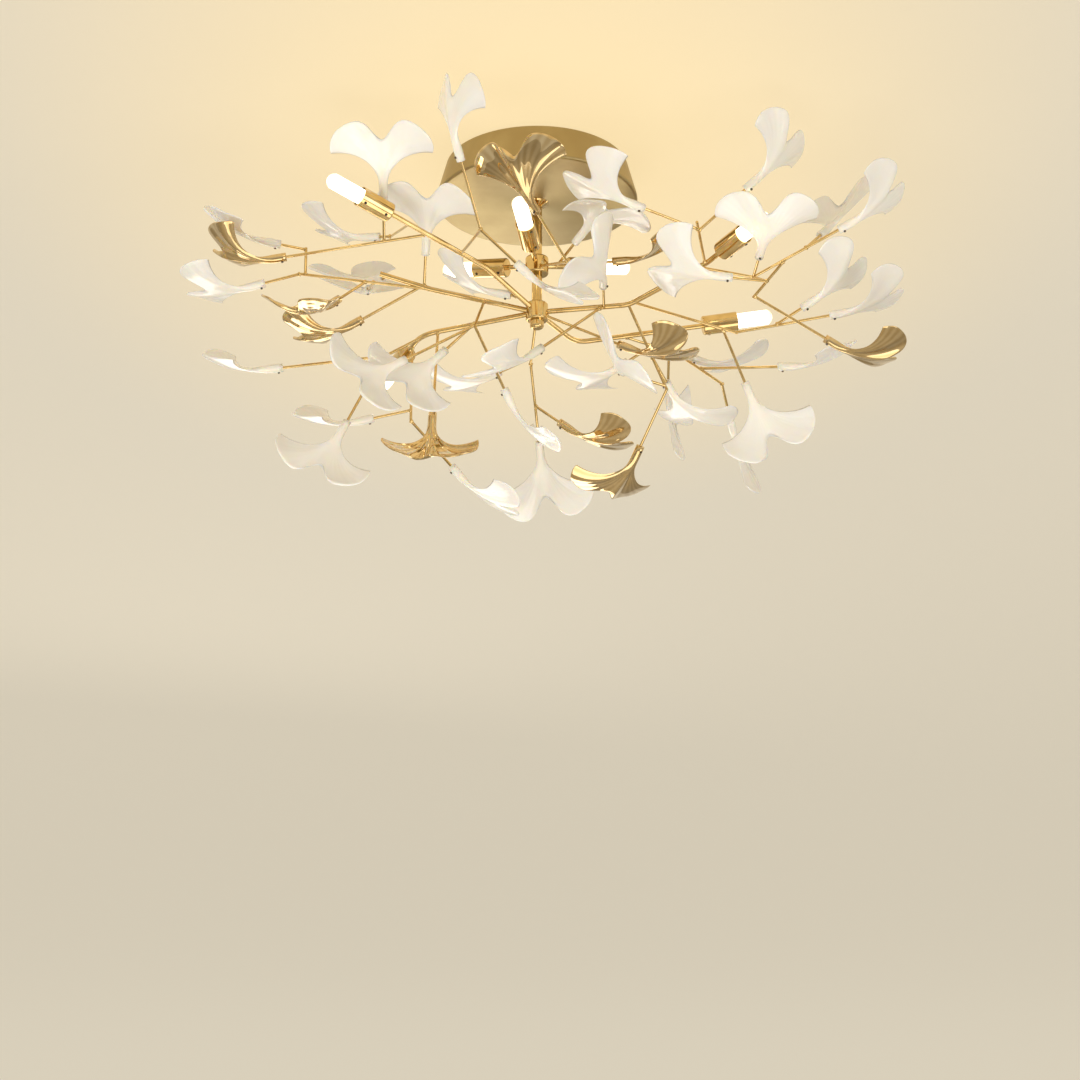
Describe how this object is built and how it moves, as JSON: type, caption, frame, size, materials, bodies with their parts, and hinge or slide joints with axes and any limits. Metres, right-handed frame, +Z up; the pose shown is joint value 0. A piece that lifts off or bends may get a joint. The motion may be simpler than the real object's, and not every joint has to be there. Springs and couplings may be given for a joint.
{
  "type": "ceiling light",
  "caption": "Flush mount ceiling light with a round pan, a short stem, gilt branching arms, porcelain and gilt ginkgo leaves and capsule lamps in cups.",
  "frame": {"origin": "on the ceiling, at the middle of the pan and of the bracket's two slots", "axes": "+Z up into the ceiling, +X to the right and +Y away from someone who looks at the front"},
  "size_m": [0.7628, 0.5003, 0.3795],
  "materials": {
    "gilt_metal": "polished",
    "gilt_leaf": "mirror polish",
    "pan_metal": "satin",
    "white_porcelain": "gloss",
    "lamp_glass": "frosted",
    "holder_ceramic": "matte",
    "zinc_steel": "satin",
    "screw_metal": "satin",
    "terminal_plastic": "matte"
  },
  "bodies": {
    "fixture": {"ceiling_bracket": "zinc_steel", "centre_twigs": "gilt_metal", "earth_screw": "screw_metal", "far_left_arm": "gilt_metal", "finial": "gilt_metal", "front_lamp_arm": "gilt_metal", "gold_leaves_centre": "gilt_leaf", "gold_leaves_far_left": "gilt_leaf", "gold_leaves_left": "gilt_leaf", "gold_leaves_near_left": "gilt_leaf", "gold_leaves_near_right": "gilt_leaf", "gold_leaves_right": "gilt_leaf", "lamp_cup_1": "gilt_metal", "lamp_cup_2": "gilt_metal", "lamp_cup_3": "gilt_metal", "lamp_cup_4": "gilt_metal", "lamp_cup_5": "gilt_metal", "lamp_cup_6": "gilt_metal", "lamp_cup_7": "gilt_metal", "lamp_holder_1": "holder_ceramic", "lamp_holder_2": "holder_ceramic", "lamp_holder_3": "holder_ceramic", "lamp_holder_4": "holder_ceramic", "lamp_holder_5": "holder_ceramic", "lamp_holder_6": "holder_ceramic", "lamp_holder_7": "holder_ceramic", "leaf_grub_screws": "screw_metal", "left_arm": "gilt_metal", "left_lamp_arm": "gilt_metal", "lower_hub": "gilt_metal", "near_left_arm": "gilt_metal", "near_right_arm": "gilt_metal", "pan": "pan_metal", "pan_side_screws": "gilt_metal", "right_arm": "gilt_metal", "right_lamp_arm": "gilt_metal", "stem_collar": "gilt_metal", "stem_nut": "zinc_steel", "stem_tube": "gilt_metal", "terminal_block": "terminal_plastic", "upper_hub": "gilt_metal", "white_leaves_centre": "white_porcelain", "white_leaves_far_left": "white_porcelain", "white_leaves_left": "white_porcelain", "white_leaves_near_left": "white_porcelain", "white_leaves_near_right": "white_porcelain", "white_leaves_right": "white_porcelain"},
    "lamp_1": {"lamp_1": "lamp_glass"},
    "lamp_2": {"lamp_2": "lamp_glass"},
    "lamp_3": {"lamp_3": "lamp_glass"},
    "lamp_4": {"lamp_4": "lamp_glass"},
    "lamp_5": {"lamp_5": "lamp_glass"},
    "lamp_6": {"lamp_6": "lamp_glass"},
    "lamp_7": {"lamp_7": "lamp_glass"}
  },
  "joints": [
    {"name": "lamp_1_pull", "type": "slide", "parent": "fixture", "child": "lamp_1", "axis": [-0.7734, -0.5998, 0.2052], "range_m": [0, 0.03]},
    {"name": "lamp_2_pull", "type": "slide", "parent": "fixture", "child": "lamp_2", "axis": [-0.1693, -0.9594, 0.2257], "range_m": [0, 0.03]},
    {"name": "lamp_3_pull", "type": "slide", "parent": "fixture", "child": "lamp_3", "axis": [-0.9069, 0.3968, 0.1417], "range_m": [0, 0.03]},
    {"name": "lamp_4_pull", "type": "slide", "parent": "fixture", "child": "lamp_4", "axis": [0.8653, 0.4581, 0.2036], "range_m": [0, 0.03]},
    {"name": "lamp_5_pull", "type": "slide", "parent": "fixture", "child": "lamp_5", "axis": [0.5334, -0.8381, 0.1143], "range_m": [0, 0.03]},
    {"name": "lamp_6_pull", "type": "slide", "parent": "fixture", "child": "lamp_6", "axis": [0.9852, 0.05, 0.1642], "range_m": [0, 0.03]},
    {"name": "lamp_7_pull", "type": "slide", "parent": "fixture", "child": "lamp_7", "axis": [-0.4055, 0.9063, -0.1193], "range_m": [0, 0.03]}
  ]
}
